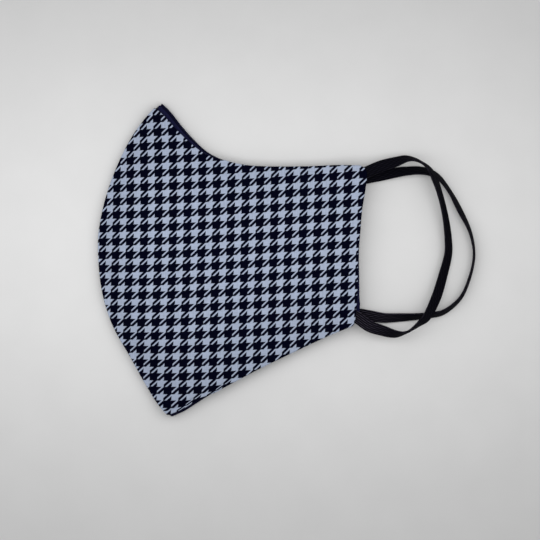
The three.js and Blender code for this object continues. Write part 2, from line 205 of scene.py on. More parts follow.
class Edge:
    """One edge of the mask in plan, bowed to the left of its direction where the bow is positive."""

    def __init__(self, start, end, bow, shape, flipped=False):
        rows = np.array([(1 - a, b) for a, b in shape][::-1] if flipped else shape, float)
        start, end = np.array(start, float), np.array(end, float)
        line = end - start
        left = np.array((-line[1], line[0])) / np.linalg.norm(line)
        knots = start + rows[:, :1] * line + rows[:, 1:] * bow * left
        fine = spline(np.vstack([knots[:1], knots, knots[-1:]]), 30, 0.0)
        along = np.concatenate([[0], np.cumsum(np.linalg.norm(np.diff(fine, axis=0), axis=1))])
        self.length = along[-1]
        self.shares = np.linspace(0, 1, 601)
        places = self.shares * self.length
        self.points = np.column_stack([np.interp(places, along, fine[:, k]) for k in (0, 1)])
        self.samples = self.at(np.linspace(0, 1, EDGE_SAMPLES + 1))

    def at(self, share):
        return np.stack([np.interp(share, self.shares, self.points[:, k]) for k in (0, 1)], axis=-1)

    def inward(self, share):
        ahead = self.at(clamp01(share + 0.002)) - self.at(clamp01(share - 0.002))
        ahead = ahead / np.linalg.norm(ahead, axis=-1, keepdims=True)
        return np.stack([ahead[..., 1], -ahead[..., 0]], axis=-1)

    def distance(self, plan):
        return line_distance(self.samples, plan)


def line_distance(line, plan):
    """Distance in plan from each point to a line of points."""
    nearest = np.full(len(plan), np.inf)
    for a, b in zip(line[:-1], line[1:]):
        d = b - a
        share = clamp01((plan - a) @ d / (d @ d))
        gap = plan - a - share[:, None] * d
        nearest = np.minimum(nearest, (gap**2).sum(axis=1))
    return np.sqrt(nearest)


NOSE_TIP = (0.0, 0.0)
CHIN_TIP = (CHIN_SHIFT, -SEAM_HEIGHT)
TOP_CORNER = (NOSE_REACH, -NOSE_DROP)
BOTTOM_CORNER = (NOSE_REACH - SIDE_LEAN, -NOSE_DROP - SIDE_HEIGHT)
SEAM = Edge(CHIN_TIP, NOSE_TIP, SEAM_BOW, SEAM_SHAPE, flipped=True)
NOSE = Edge(NOSE_TIP, TOP_CORNER, -NOSE_BOW, NOSE_SHAPE)
SIDE = Edge(BOTTOM_CORNER, TOP_CORNER, SIDE_BOW, SIDE_SHAPE, flipped=True)
CHIN = Edge(CHIN_TIP, BOTTOM_CORNER, CHIN_BOW, CHIN_SHAPE)

# The plan's place in the frame, from the lower outer panel: its seam edge and its end at the nose
NOSE_END = SEAM.at(1 - NOSE_BACK["outer_panel_lower"] / SEAM.length)
PLAN_PLACE = np.array(
    (
        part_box("outer_panel_lower")[0].x / MM - SEAM.points[:, 0].min(),
        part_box("outer_panel_lower")[1].y / MM - NOSE_END[1],
    )
)


def sewn_point(loop, end):
    share = LOOP_ENDS[loop][end][0] * ELASTIC_SOLID_WIDTH / SIDE.length
    return SIDE.at(1 - share if end == "top" else share)


def pocket_room(plan):
    """Extra room between an outer panel and its lining round the sewn ends of the loops."""
    shares = []
    for end in ("top", "bottom"):
        centre = (sewn_point("ear_loop_upper", end) + sewn_point("ear_loop_lower", end)) / 2
        shares.append(1 - smooth((np.linalg.norm(plan - centre, axis=1) - POCKET_RADIUS) / POCKET_FADE))
    return (ELASTIC_SOLID + 2 * ELASTIC_CLEARANCE - CLOTH_GAP) * np.maximum(*shares)


def tip_share(plan):
    """1 at the two tips of the seam, 0 where the linings have drawn in."""
    from_tips = [np.linalg.norm(plan - np.array(tip), axis=1) for tip in (NOSE_TIP, CHIN_TIP)]
    return smooth(1 - np.minimum(*from_tips) / TIP_LENGTH)


def hollow_height(plan):
    ends = swell(NOSE.distance(plan) / HOLLOW_SPREAD) * swell(CHIN.distance(plan) / HOLLOW_SPREAD)
    crest = mix(HOLLOW_SIDE, HOLLOW_CREST, swell(SIDE.distance(plan) / CREST_SPREAD))
    return mix(HOLLOW_EDGE, crest, ends * swell(SEAM.distance(plan) / HOLLOW_SPREAD))


def lower_height(plan):
    """Middle of the lower outer panel: flat on the table, turned up at the seam."""
    near_seam = clamp01(1 - SEAM.distance(plan) / SEAM_LIFT_WIDTH)
    return WALL / 2 + SEAM_LIFT * (1 - tip_share(plan)) * near_seam**2


def upper_height(plan):
    """Middle of the upper outer panel: it rolls up from the seam over the linings and the hollow."""
    tip = tip_share(plan)
    ends = np.minimum(NOSE.distance(plan), CHIN.distance(plan))
    roll = mix(SEAM_ROLL_TIP, SEAM_ROLL, swell(ends / HOLLOW_SPREAD))
    rise = 1 - (1 - clamp01(SEAM.distance(plan) / roll)) ** 3
    inside = 3 * WALL + 2 * CLOTH_GAP + hollow_height(plan)
    stack = mix(WALL + SEAM_GAP, inside, 1 - (1 - rise) * (1 - tip))
    return lower_height(plan) + stack + 2 * pocket_room(plan)


def slope_normal(height, plan):
    """Unit normal of a height field, pointing up."""
    rises = []
    for step in ((SLOPE_STEP, 0), (0, SLOPE_STEP)):
        rises.append((height(plan + step) - height(plan - np.array(step))) / (2 * SLOPE_STEP))
    normal = np.column_stack([-rises[0], -rises[1], np.ones(len(plan))])
    return normal / np.linalg.norm(normal, axis=1, keepdims=True)


def ripples(plan):
    """Soft dents of cloth that was worn: along the nose edge, at the side edge and over the cheek."""
    x, y = plan[:, 0], plan[:, 1]
    room = smooth(SEAM.distance(plan) / 25) * smooth(CHIN.distance(plan) / 12)
    nose = 0.22 * np.exp(-NOSE.distance(plan) / 8) * np.sin(x / 2.3 + 0.6 * np.sin(x / 7))
    side = 0.16 * np.exp(-SIDE.distance(plan) / 9) * np.sin(y / 3.1 + 1.2)
    cheek = 0.3 * np.sin(x / 13 + y / 31 + 0.5) * np.sin(y / 17 - x / 40 + 1.1)
    away = smooth(NOSE.distance(plan) / 15) * smooth(SIDE.distance(plan) / 15)
    return room * (nose + side + cheek * away)


def cloth_surface(panel, plan):
    """Middle and normal of a panel at points of the plan. Linings follow their outer panel."""
    upper = panel.endswith("upper")
    height = upper_height if upper else lower_height
    normal = slope_normal(height, plan)
    middle = np.column_stack([plan, height(plan)])
    if panel.startswith("lining"):
        apart = (WALL + CLOTH_GAP + pocket_room(plan))[:, None]
        middle += normal * (-apart if upper else apart)
    if upper:
        middle[:, 2] += ripples(plan)
    return middle, normal


def seam_inset(panel, share):
    if not panel.startswith("lining"):
        return np.zeros_like(share)
    from_tip = np.minimum(share, 1 - share) * SEAM.length
    return mix(LINING_INSET_TIP, LINING_INSET, swell(from_tip / TIP_LENGTH))


def panel_edges(panel):
    """The four edges of one panel in plan, each as a function of its share."""
    low, high = CHIN_BACK[panel] / SEAM.length, 1 - NOSE_BACK[panel] / SEAM.length

    def seam(share):
        along = mix(low, high, share)
        return SEAM.at(along) + SEAM.inward(along) * seam_inset(panel, share)[..., None]

    def shifted(edge, corner, reach, power):
        shift = corner - edge.at(np.zeros(1))
        return lambda share: edge.at(share) + shift * clamp01(1 - share / reach)[..., None] ** power

    def side(share):
        fade = np.exp(-np.maximum(share - SIDE_ROLL_HOLD, 0) / SIDE_ROLL_FADE)
        ends = smooth(share / SIDE_ROLL_START) * smooth((1 - share) / SIDE_ROLL_END)
        out = SIDE_OUT[panel] * ends * fade
        return SIDE.at(share) + np.stack([out, np.zeros_like(out)], axis=-1)

    ends = seam(np.array([0.0, 1.0]))
    nose, chin = shifted(NOSE, ends[1:], *NOSE_FADE), shifted(CHIN, ends[:1], *CHIN_FADE)
    return {"seam": seam, "side": side, "nose": nose, "chin": chin}


def patch(edges, across, along):
    """Points of the patch between four edges."""
    a, b = across[:, None], along[:, None]
    ends = np.array([0.0, 1.0])
    low_seam, high_seam = edges["seam"](ends)
    low_side, high_side = edges["side"](ends)
    points = edges["seam"](along) * (1 - a) + edges["side"](along) * a
    points = points + edges["chin"](across) * (1 - b) + edges["nose"](across) * b
    points = points - low_seam * (1 - a) * (1 - b) - low_side * a * (1 - b)
    return points - high_seam * (1 - a) * b - high_side * a * b


def rim_distance(edges, plan):
    """Distance in plan from each point to the nearest of a panel's four edges."""
    shares = np.linspace(0, 1, EDGE_SAMPLES + 1)
    gaps = [line_distance(edge(shares), plan) for edge in edges.values()]
    return np.minimum.reduce(gaps)


# How far each corner of the folded mask is rounded, from the nose tip round by the side to the chin tip
CORNER_ROUNDING = {"nose": 0.8, "top": 3.8, "bottom": 1.7, "chin": 0.8}


def rounded(edges, plan):
    """Draws the points near a panel's four corners in, so that its outline turns there in an arc."""
    corners = {
        "nose": ("seam", 1.0, "nose", 0.0),
        "top": ("side", 1.0, "nose", 1.0),
        "bottom": ("side", 0.0, "chin", 1.0),
        "chin": ("seam", 0.0, "chin", 0.0),
    }
    plan = plan.copy()
    for corner, (first, first_end, second, second_end) in corners.items():
        radius = CORNER_ROUNDING[corner]
        at = edges[first](np.array([first_end]))[0]
        axes = []
        for edge, end in ((first, first_end), (second, second_end)):
            inner = edges[edge](np.array([abs(end - 0.03)]))[0] - at
            axes.append(inner / np.linalg.norm(inner))
        axes = np.array(axes)
        inwards = 1 - (plan - at) @ np.linalg.inv(axes) / radius
        a, b = clamp01(inwards).T
        near = (inwards > 0).all(axis=1)[:, None]
        drawn = np.column_stack([a * (1 - np.sqrt(1 - b**2 / 2)), b * (1 - np.sqrt(1 - a**2 / 2))])
        plan += near * radius * drawn @ axes
    return plan


# The weave's place and lie on the mask, fitted by least squares to the photo: how far threads lean, bow and
# draw in, as shares of a repeat, at WEAVE_SPAN from the weave's middle
WEAVE_SPAN = 44.3
WEAVE_MIDDLE = (31.2, -70.2)
WARP_LEAN, WARP_BOW, WARP_CURL, WARP_DRAW, WARP_SKEW = -0.16, 0.06, 0.042, -0.12, -0.056
WEFT_LEAN, WEFT_BOW, WEFT_CURL, WEFT_SHEAR, WEFT_TURN = 0.387, 0.086, 0.056, 0.07, -0.046

# The tuck beside the chin tip, where the hem rolls under
TUCK_WIDTH = 1.75
TUCK_START = 2.0
TUCK_END = 31.0
TUCK_REACH = 4.5  # no tuck further than this from the chin edge
TUCK_TURN = 1.0  # cloth that goes round the roll for each millimetre seen from above


def tuck_share(plan):
    """1 along the tuck beside the chin tip, 0 away from it."""
    from_tip = np.linalg.norm(plan - np.array(CHIN_TIP), axis=1)
    return smooth((from_tip - TUCK_START) / 3) * (1 - smooth((from_tip - TUCK_END) / 4))


def cloth_coordinates(plan, rim):
    """Where each point lies on the weave: metres to the right and down from the weave's middle."""
    chin = CHIN.distance(plan)
    extra = TUCK_TURN * np.maximum(TUCK_WIDTH - rim, 0) * tuck_share(plan) * (chin < TUCK_REACH)
    down = np.array(BOTTOM_CORNER) - np.array(CHIN_TIP)
    outward = np.array((down[1], -down[0])) / np.linalg.norm(down)
    a, b = ((plan + outward * extra[:, None] - np.array(WEAVE_MIDDLE)) / WEAVE_SPAN).T
    right = WARP_LEAN * b + WARP_BOW * b**2 + WARP_CURL * b**3 + WARP_DRAW * a * b**2 + WARP_SKEW * a**2 * b
    below = WEFT_LEAN * a + WEFT_SHEAR * a * b + WEFT_BOW * a**2 + WEFT_CURL * b**3 + WEFT_TURN * a**3
    width, height = sizes().repeat_width, sizes().repeat_height
    return np.column_stack([a * WEAVE_SPAN * MM + right * width, -b * WEAVE_SPAN * MM + below * height])


def relief(plan, rim):
    """What the top face of the upper outer panel adds: the ridge of the turned hem and the chin tuck."""
    ridge = 0.13 * smooth((8.2 - rim) / 1.6) * smooth((SEAM.distance(plan) - 1) / 4)
    tuck = tuck_share(plan) * (CHIN.distance(plan) < TUCK_REACH)
    groove = 0.45 * np.exp(-(((rim - TUCK_WIDTH) / 0.35) ** 2))
    return ridge - tuck * groove


def object_from(name, mesh, replaced, material):
    """A finished piece that rides on the mask's one body and stands for its solid."""
    piece = bpy.data.objects.new(name, mesh)
    bpy.context.scene.collection.objects.link(piece)
    mesh.materials.append(material)
    mesh.shade_smooth()
    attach(piece, "root")
    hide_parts(replaced)
    return piece


def set_points(mesh, points, cloth):
    """Moves a mesh's points and gives it its cloth coordinates, then closes it."""
    mesh.vertices.foreach_set("co", points.astype(np.float32).ravel())
    corners = np.empty(len(mesh.loops), np.int32)
    mesh.loops.foreach_get("vertex_index", corners)
    layer = mesh.uv_layers.new(name=CLOTH_UV)
    layer.data.foreach_set("uv", cloth[corners].astype(np.float32).ravel())
    bm = bmesh.new()
    bm.from_mesh(mesh)
    bmesh.ops.remove_doubles(bm, verts=bm.verts, dist=MERGE)
    bm.to_mesh(mesh)
    bm.free()
    mesh.update()


def cloth_panel(name, panel, steps, thickness, rim_radius):
    """A closed sheet: one grid for each face of the cloth, and they meet along a rounded rim."""
    bm = bmesh.new()
    bmesh.ops.create_grid(bm, x_segments=steps[0], y_segments=steps[1], size=0.5)
    under = bmesh.ops.create_grid(bm, x_segments=steps[0], y_segments=steps[1], size=0.5)["verts"]
    bmesh.ops.reverse_faces(bm, faces=list({f for v in under for f in v.link_faces}))
    mesh = bpy.data.meshes.new(name)
    bm.to_mesh(mesh)
    bm.free()
    flat = np.empty(len(mesh.vertices) * 3, np.float32)
    mesh.vertices.foreach_get("co", flat)
    flat = flat.reshape(-1, 3).astype(float)[: len(flat) // 6]
    edges = panel_edges(panel)
    across = crowded(clamp01(flat[:, 0] + 0.5), RIM_CROWDING)
    along = crowded(clamp01(flat[:, 1] + 0.5), RIM_CROWDING)
    plan = patch(edges, across, along)
    rim = rim_distance(edges, plan)
    plan = rounded(edges, plan)
    middle, normal = cloth_surface(panel, plan)
    rim[(across < 1e-6) | (across > 1 - 1e-6) | (along < 1e-6) | (along > 1 - 1e-6)] = 0
    half = thickness / 2 * np.sqrt(1 - (1 - clamp01(rim / rim_radius)) ** 2)[:, None]
    top, bottom = middle + normal * half, middle - normal * half
    if panel == "outer_panel_upper":
        top[:, 2] += relief(plan, rim) * clamp01(rim / rim_radius)
    points = np.vstack([top, bottom])
    points[:, :2] += PLAN_PLACE
    cloth = cloth_coordinates(plan, rim)
    set_points(mesh, points * MM, np.vstack([cloth, cloth]))
    return mesh


def sewn_stations(loop, end):
    """The two route points of a sewn end, inside the hem and at the side edge, with the band's lean."""
    upper = loop.endswith("upper")
    height = upper_height if upper else lower_height
    heading = math.radians(LOOP_ENDS[loop][end][1])
    outward = np.array((math.cos(heading), math.sin(heading)))
    across = np.array((-outward[1], outward[0])) * (1 if end == "top" else -1)
    drop = WALL / 2 + ELASTIC_CLEARANCE + ELASTIC_SOLID / 2
    stations = []
    for distance in (-ELASTIC_SEWN, 0.0):
        at = sewn_point(loop, end) + outward * distance
        left, middle, right = height(np.array([at + across, at, at - across]))
        lean = math.degrees(math.atan2(right - left, 2))
        stations.append((at[0], at[1], middle - drop if upper else middle + drop, lean))
    return stations


def loop_stations(loop):
    """Place and lean of the band from inside the upper corner round to inside the lower one."""
    top, bottom = sewn_point(loop, "top"), sewn_point(loop, "bottom")
    up = top - bottom
    out = np.array((up[1], -up[0])) / np.linalg.norm(up) * LOOP_REACH
    hump = ELASTIC_SOLID_WIDTH + LOOP_CLEARANCE
    free = []
    for outwards, upwards, lift, lean in LOOP_ROUTES[loop]:
        at = bottom + up * upwards + out * outwards
        angle = math.radians(lean)
        half = (ELASTIC_SOLID_WIDTH * math.sin(angle) + ELASTIC_SOLID * math.cos(angle)) / 2
        free.append((at[0], at[1], lift * hump + half, lean))
    stations = sewn_stations(loop, "top") + free + sewn_stations(loop, "bottom")[::-1]
    return np.array(stations)


def band_section(share):
    """Half of the braided band's section: offset across from -1 to 1, and half thickness, with its ribs."""
    across = np.sin(math.pi * (share - 0.5))
    ribs = 0.78 + 0.22 * np.abs(np.cos(math.pi * sizes().rib_count / 2 * across))
    return across, ribs * (1 - across**14) ** 0.5


def elastic_band(name, loop):
    """A flat ribbed band along its route. Also gives the line that it follows."""
    stations = loop_stations(loop)
    ends = np.vstack([2 * stations[:1] - stations[1:2], stations, 2 * stations[-1:] - stations[-2:-1]])
    fine = spline(ends[:, :3], 24, 0.25)
    leans = np.interp(np.linspace(0, 1, len(fine)), *lean_curve(stations[:, 3]))
    lengths = np.concatenate([[0], np.cumsum(np.linalg.norm(np.diff(fine, axis=0), axis=1))])
    bm = bmesh.new()
    bmesh.ops.create_grid(bm, x_segments=2 * BAND_PROFILE, y_segments=BAND_STEPS, size=0.5)
    mesh = bpy.data.meshes.new(name)
    bm.to_mesh(mesh)
    bm.free()
    flat = np.empty(len(mesh.vertices) * 3, np.float32)
    mesh.vertices.foreach_get("co", flat)
    flat = flat.reshape(-1, 3).astype(float)
    along = clamp01(flat[:, 1] + 0.5) * lengths[-1]
    around = clamp01(flat[:, 0] + 0.5) * 2
    line = np.column_stack([np.interp(along, lengths, fine[:, k]) for k in range(3)])
    ahead = np.gradient(fine, axis=0)
    tangent = np.column_stack([np.interp(along, lengths, ahead[:, k]) for k in range(3)])
    tangent /= np.linalg.norm(tangent, axis=1, keepdims=True)
    lean = np.radians(np.interp(along, lengths, leans))[:, None]
    wide = np.cross(tangent, (0, 0, 1))
    wide /= np.linalg.norm(wide, axis=1, keepdims=True)
    thin = np.cross(wide, tangent)
    wide, thin = wide * np.cos(lean) + thin * np.sin(lean), thin * np.cos(lean) - wide * np.sin(lean)
    side = np.where(around > 1, -1, 1)
    across, thick = band_section(np.where(around > 1, 2 - around, around))
    half_width, half_thick = sizes().elastic_width / MM / 2, sizes().elastic_thickness / MM / 2
    points = line + wide * (across * half_width)[:, None] + thin * (side * thick * half_thick)[:, None]
    points[:, :2] += PLAN_PLACE
    set_points(mesh, points * MM, np.column_stack([across * half_width, along]) * MM)
    close_ends(mesh)
    path = np.column_stack([fine[:, 0] + PLAN_PLACE[0], fine[:, 1] + PLAN_PLACE[1], fine[:, 2]]) * MM
    return mesh, path


def lean_curve(leans):
    """The band's lean along its route as a smooth curve: shares of the route, degrees."""
    knots = np.column_stack([np.arange(len(leans)), leans])
    fine = spline(np.vstack([knots[:1], knots, knots[-1:]]), 24, 0.0)
    return np.linspace(0, 1, len(fine)), fine[:, 1]


def close_ends(mesh):
    """Caps the two ends of a tube and turns its faces outwards."""
    bm = bmesh.new()
    bm.from_mesh(mesh)
    bmesh.ops.holes_fill(bm, edges=[e for e in bm.edges if e.is_boundary], sides=0)
    bmesh.ops.recalc_face_normals(bm, faces=bm.faces)
    bm.to_mesh(mesh)
    bm.free()


def linear(hex_colour):
    """An sRGB hex colour as linear light."""
    values = [int(hex_colour[i : i + 2], 16) / 255 for i in (0, 2, 4)]
    return tuple(v / 12.92 if v <= 0.04045 else ((v + 0.055) / 1.055) ** 2.4 for v in values)


def node(tree, kind, links=None, **settings):
    """Adds a node with its settings. links maps its sockets to values or to other nodes' sockets."""
    made = tree.nodes.new(kind)
    for key, value in settings.items():
        setattr(made, key, value)
    for key, value in (links or {}).items():
        if isinstance(value, bpy.types.NodeSocket):
            tree.links.new(value, made.inputs[key])
        else:
            made.inputs[key].default_value = value
    return made


def new_material(name, roughness, specular):
    """A material with its principled shader, whose constants are set on its own sockets."""
    material = bpy.data.materials.new(name)
    material.use_nodes = True
    tree = material.node_tree
    shader = tree.nodes["Principled BSDF"]
    shader.inputs["Roughness"].default_value = roughness
    shader.inputs["Specular IOR Level"].default_value = specular
    return material, tree, shader


# Plain-weave cotton has about 40 threads to the centimetre, 0.25 mm apart
THREAD = 0.00025
THREAD_HEIGHT = 0.00012
SLUB_LENGTH = 14  # thick and thin stretches of a thread, in thread widths


def threads(tree, cloth):
    """Height of the plain weave, 0 to 1: noise drawn out along the warp and along the weft."""
    shares = []
    for scale in ((1 / THREAD, 1 / (THREAD * SLUB_LENGTH), 1), (1 / (THREAD * SLUB_LENGTH), 1 / THREAD, 1)):
        placed = node(tree, "ShaderNodeMapping", {"Vector": cloth, "Scale": scale})
        grain = node(tree, "ShaderNodeTexNoise", {"Vector": placed.outputs[0], "Scale": 0.5, "Detail": 2.0})
        shares.append(grain.outputs["Fac"])
    both = node(tree, "ShaderNodeMath", {0: shares[0], 1: shares[1]}, operation="ADD")
    return node(tree, "ShaderNodeMath", {0: both.outputs[0], 1: 0.5}, operation="MULTIPLY").outputs[0]


def thread_bump(tree, height, distance):
    """The normal of a surface whose threads stand up by this distance."""
    bump = node(tree, "ShaderNodeBump", {"Height": height, "Distance": distance, "Strength": 0.6})
    return bump.outputs[0]


def scaled(tree, colour, share):
    """A colour times a number."""
    made = node(tree, "ShaderNodeVectorMath", {0: colour, "Scale": share}, operation="SCALE")
    return made.outputs[0]


def tinted(tree, colour, height, low, high):
    """A colour that darkens where a height is low and lightens where it is high. On cloth and elastic it is
    painted shade in the hollows of the weave and a painted highlight on its threads, and on cloth also the
    yarns' random slub tone; on the table it is a random mottle.
    """
    shade = node(tree, "ShaderNodeMapRange", {0: height, 1: 0.3, 2: 0.7, 3: low, 4: high})
    return scaled(tree, colour, shade.outputs[0])


def banded(tree, place, low, high, soft=0.02):
    """1 where a place, in repeats, lies between two places of every repeat, 0 outside, with a soft edge."""
    middle, half = (low + high) / 2, (high - low) / 2
    from_middle = node(tree, "ShaderNodeMath", {0: place, 1: middle}, operation="SUBTRACT").outputs[0]
    apart = node(tree, "ShaderNodeMath", {0: from_middle, 1: 0.5}, operation="PINGPONG").outputs[0]
    return node(
        tree,
        "ShaderNodeMapRange",
        {0: apart, 1: half - soft, 2: half + soft, 3: 1.0, 4: 0.0},
        interpolation_type="SMOOTHSTEP",
    ).outputs[0]


# The houndstooth in repeats, fitted in the same way: its phase at the weave's middle, the width of its dark
# yarns, and where they come to the front between two blocks, as places along the diagonal, for the weft
# and for the warp
TOOTH_PHASE = (-0.716, -0.1665)
DARK_SHARE = 0.555
WEFT_STRIPES = ((-0.5, -0.119), (0.017, 0.279))
WARP_STRIPES = ((-0.173, 0.083), (0.224, 0.5))
FRAY = 0.025  # how far the yarns' edges wander, in repeats


def houndstooth_cotton():
    """Yarn-dyed plain-weave cotton: matt, with slightly furry edges where the two yarns cross."""
    material, tree, shader = new_material("Houndstooth cotton", roughness=0.95, specular=0.0)
    cloth = node(tree, "ShaderNodeUVMap", uv_map=CLOTH_UV).outputs[0]
    height = threads(tree, cloth)
    repeat = (1 / sizes().repeat_width, 1 / sizes().repeat_height, 1)
    placed = node(
        tree, "ShaderNodeMapping", {"Vector": cloth, "Scale": repeat, "Location": (*TOOTH_PHASE, 0)}
    ).outputs[0]
    fray = node(tree, "ShaderNodeTexNoise", {"Vector": cloth, "Scale": 0.4 / THREAD, "Detail": 1.0})
    centred = node(
        tree, "ShaderNodeVectorMath", {0: fray.outputs["Color"], 1: (0.5, 0.5, 0.5)}, operation="SUBTRACT"
    )
    frayed = node(
        tree,
        "ShaderNodeVectorMath",
        {0: centred.outputs[0], 1: (FRAY, FRAY, 0), 2: placed},
        operation="MULTIPLY_ADD",
    )
    split = node(tree, "ShaderNodeSeparateXYZ", {0: frayed.outputs[0]})
    right, below = split.outputs[0], split.outputs[1]
    total = node(tree, "ShaderNodeMath", {0: right, 1: below}, operation="ADD").outputs[0]
    warp = banded(tree, right, 0.0, DARK_SHARE)
    weft = banded(tree, below, 0.0, DARK_SHARE)
    dark = node(tree, "ShaderNodeMath", {0: warp, 1: weft}, operation="MULTIPLY").outputs[0]
    for yarn, stripes in ((weft, WEFT_STRIPES), (warp, WARP_STRIPES)):
        for low, high in stripes:
            front = banded(tree, total, low, high)
            shown = node(tree, "ShaderNodeMath", {0: yarn, 1: front}, operation="MULTIPLY").outputs[0]
            dark = node(tree, "ShaderNodeMath", {0: dark, 1: shown}, operation="MAXIMUM").outputs[0]
    light_yarn = tinted(tree, tuple(colours().light_yarn), height, 0.84, 1.14)
    dark_yarn = tinted(tree, tuple(colours().dark_yarn), height, 0.7, 1.4)
    cloth_colour = node(
        tree, "ShaderNodeMix", {"Factor": dark, 6: light_yarn, 7: dark_yarn}, data_type="RGBA"
    )
    tree.links.new(cloth_colour.outputs[2], shader.inputs["Base Color"])
    tree.links.new(thread_bump(tree, height, THREAD_HEIGHT), shader.inputs["Normal"])
    return material


# Painted shade: the lower lining lies in the folds' shade, so its colour is darkened low down. Between these
# heights above the table, in metres, the lining lightens from this share of its colour to all of it
LINING_LOW = 0.0026
LINING_HIGH = 0.0038
LINING_SHADE = 0.6


def navy_cotton():
    """Piece-dyed plain-weave cotton of the lining: matt navy, with painted shade that darkens it low down."""
    material, tree, shader = new_material("Navy lining cotton", roughness=0.9, specular=0.04)
    cloth = node(tree, "ShaderNodeUVMap", uv_map=CLOTH_UV).outputs[0]
    height = threads(tree, cloth)
    place = node(tree, "ShaderNodeTexCoord").outputs["Object"]
    level = node(tree, "ShaderNodeSeparateXYZ", {0: place}).outputs[2]
    shade = node(
        tree, "ShaderNodeMapRange", {0: level, 1: LINING_LOW, 2: LINING_HIGH, 3: LINING_SHADE, 4: 1.0}
    )
    # Painted shade: the lining's colour, darkened low down where the folds shade it
    lining_with_painted_shade = scaled(tree, tuple(colours().lining), shade.outputs[0])
    tree.links.new(tinted(tree, lining_with_painted_shade, height, 0.7, 1.35), shader.inputs["Base Color"])
    tree.links.new(thread_bump(tree, height, THREAD_HEIGHT), shader.inputs["Normal"])
    return material


# Braided elastic has a stitch about every 1 mm along its ribs
BRAID_STITCH = 0.001
BRAID_HEIGHT = 0.0001
# Half the width of the painted highlight on a rib's crest and the softness of its edge, as shares of the rib
CREST = 0.12
CREST_SOFTNESS = 0.07
# The painted highlight on the crests shows in full beside the lower sewn end, where the band lies flat, and
# by this share elsewhere. It grows between these lengths along the loop, in metres
CREST_ELSEWHERE = 0.15
FLAT_FROM = 0.122
FLAT_IN_FULL = 0.135


def braided_elastic():
    """Braided polyester over rubber: near-black, with a faint gloss and a painted highlight on the crests of
    its ribs.
    """
    material, tree, shader = new_material("Braided elastic", roughness=0.55, specular=0.02)
    cloth = node(tree, "ShaderNodeUVMap", uv_map=CLOTH_UV).outputs[0]
    placed = node(
        tree, "ShaderNodeMapping", {"Vector": cloth, "Scale": (2.5 / BRAID_STITCH, 1 / BRAID_STITCH, 1)}
    )
    braid = node(
        tree,
        "ShaderNodeTexWave",
        {"Vector": placed.outputs[0], "Scale": 0.16, "Distortion": 0.6, "Detail": 1.0},
        wave_type="BANDS",
        bands_direction="DIAGONAL",
    )
    height = braid.outputs["Fac"]
    split = node(tree, "ShaderNodeSeparateXYZ", {0: cloth})
    rib = node(
        tree,
        "ShaderNodeMath",
        {0: split.outputs[0], 1: sizes().rib_count / sizes().elastic_width},
        operation="MULTIPLY",
    )
    crest = banded(tree, rib.outputs[0], -CREST, CREST, CREST_SOFTNESS)
    flat = node(
        tree,
        "ShaderNodeMapRange",
        {0: split.outputs[1], 1: FLAT_FROM, 2: FLAT_IN_FULL, 3: CREST_ELSEWHERE, 4: 1.0},
    )
    lit = node(tree, "ShaderNodeMath", {0: crest, 1: flat.outputs[0]}, operation="MULTIPLY").outputs[0]
    # Painted highlight: the rib crests are made paler where the band lies flat and catches the light
    painted_crest_highlight = node(
        tree,
        "ShaderNodeMix",
        {"Factor": lit, 6: (*colours().elastic, 1.0), 7: (*colours().elastic_rib_highlight, 1.0)},
        data_type="RGBA",
    )
    tree.links.new(tinted(tree, painted_crest_highlight.outputs[2], height, 0.75, 1.3), shader.inputs["Base Color"])
    tree.links.new(thread_bump(tree, height, BRAID_HEIGHT), shader.inputs["Normal"])
    return material


def table_top():
    """Painted board: pale grey, nearly matt, with a faint mottle."""
    material, tree, shader = new_material("Pale painted board", roughness=0.7, specular=0.3)
    place = node(tree, "ShaderNodeTexCoord").outputs["Object"]
    mottle = node(tree, "ShaderNodeTexNoise", {"Vector": place, "Scale": 45.0, "Detail": 3.0})
    paint = tinted(tree, tuple(colours().table), mottle.outputs["Fac"], 0.985, 1.015)
    tree.links.new(paint, shader.inputs["Base Color"])
    return material


class MaskSizes(bpy.types.PropertyGroup):
    """Sizes of the mask's cloth, pattern and elastic"""

    cloth_thickness: bpy.props.FloatProperty(
        name="Cloth thickness",
        description="Thickness of a panel with its turned hem",
        default=0.9 * MM,
        unit="LENGTH",
    )
    rim_radius: bpy.props.FloatProperty(
        name="Rim radius",
        description="Rounding of a turned cloth edge",
        default=0.55 * MM,
        unit="LENGTH",
    )
    repeat_width: bpy.props.FloatProperty(
        name="Repeat width",
        description="Width of one houndstooth repeat",
        default=6.35 * MM,
        unit="LENGTH",
    )
    repeat_height: bpy.props.FloatProperty(
        name="Repeat height",
        description="Height of one houndstooth repeat",
        default=6.0 * MM,
        unit="LENGTH",
    )
    elastic_width: bpy.props.FloatProperty(
        name="Elastic width",
        description="Width of the flat elastic",
        default=5.2 * MM,
        unit="LENGTH",
    )
    elastic_thickness: bpy.props.FloatProperty(
        name="Elastic thickness",
        description="Thickness of the flat elastic",
        default=1.2 * MM,
        unit="LENGTH",
    )
    rib_count: bpy.props.IntProperty(name="Ribs", description="Ribs across the elastic", default=6)


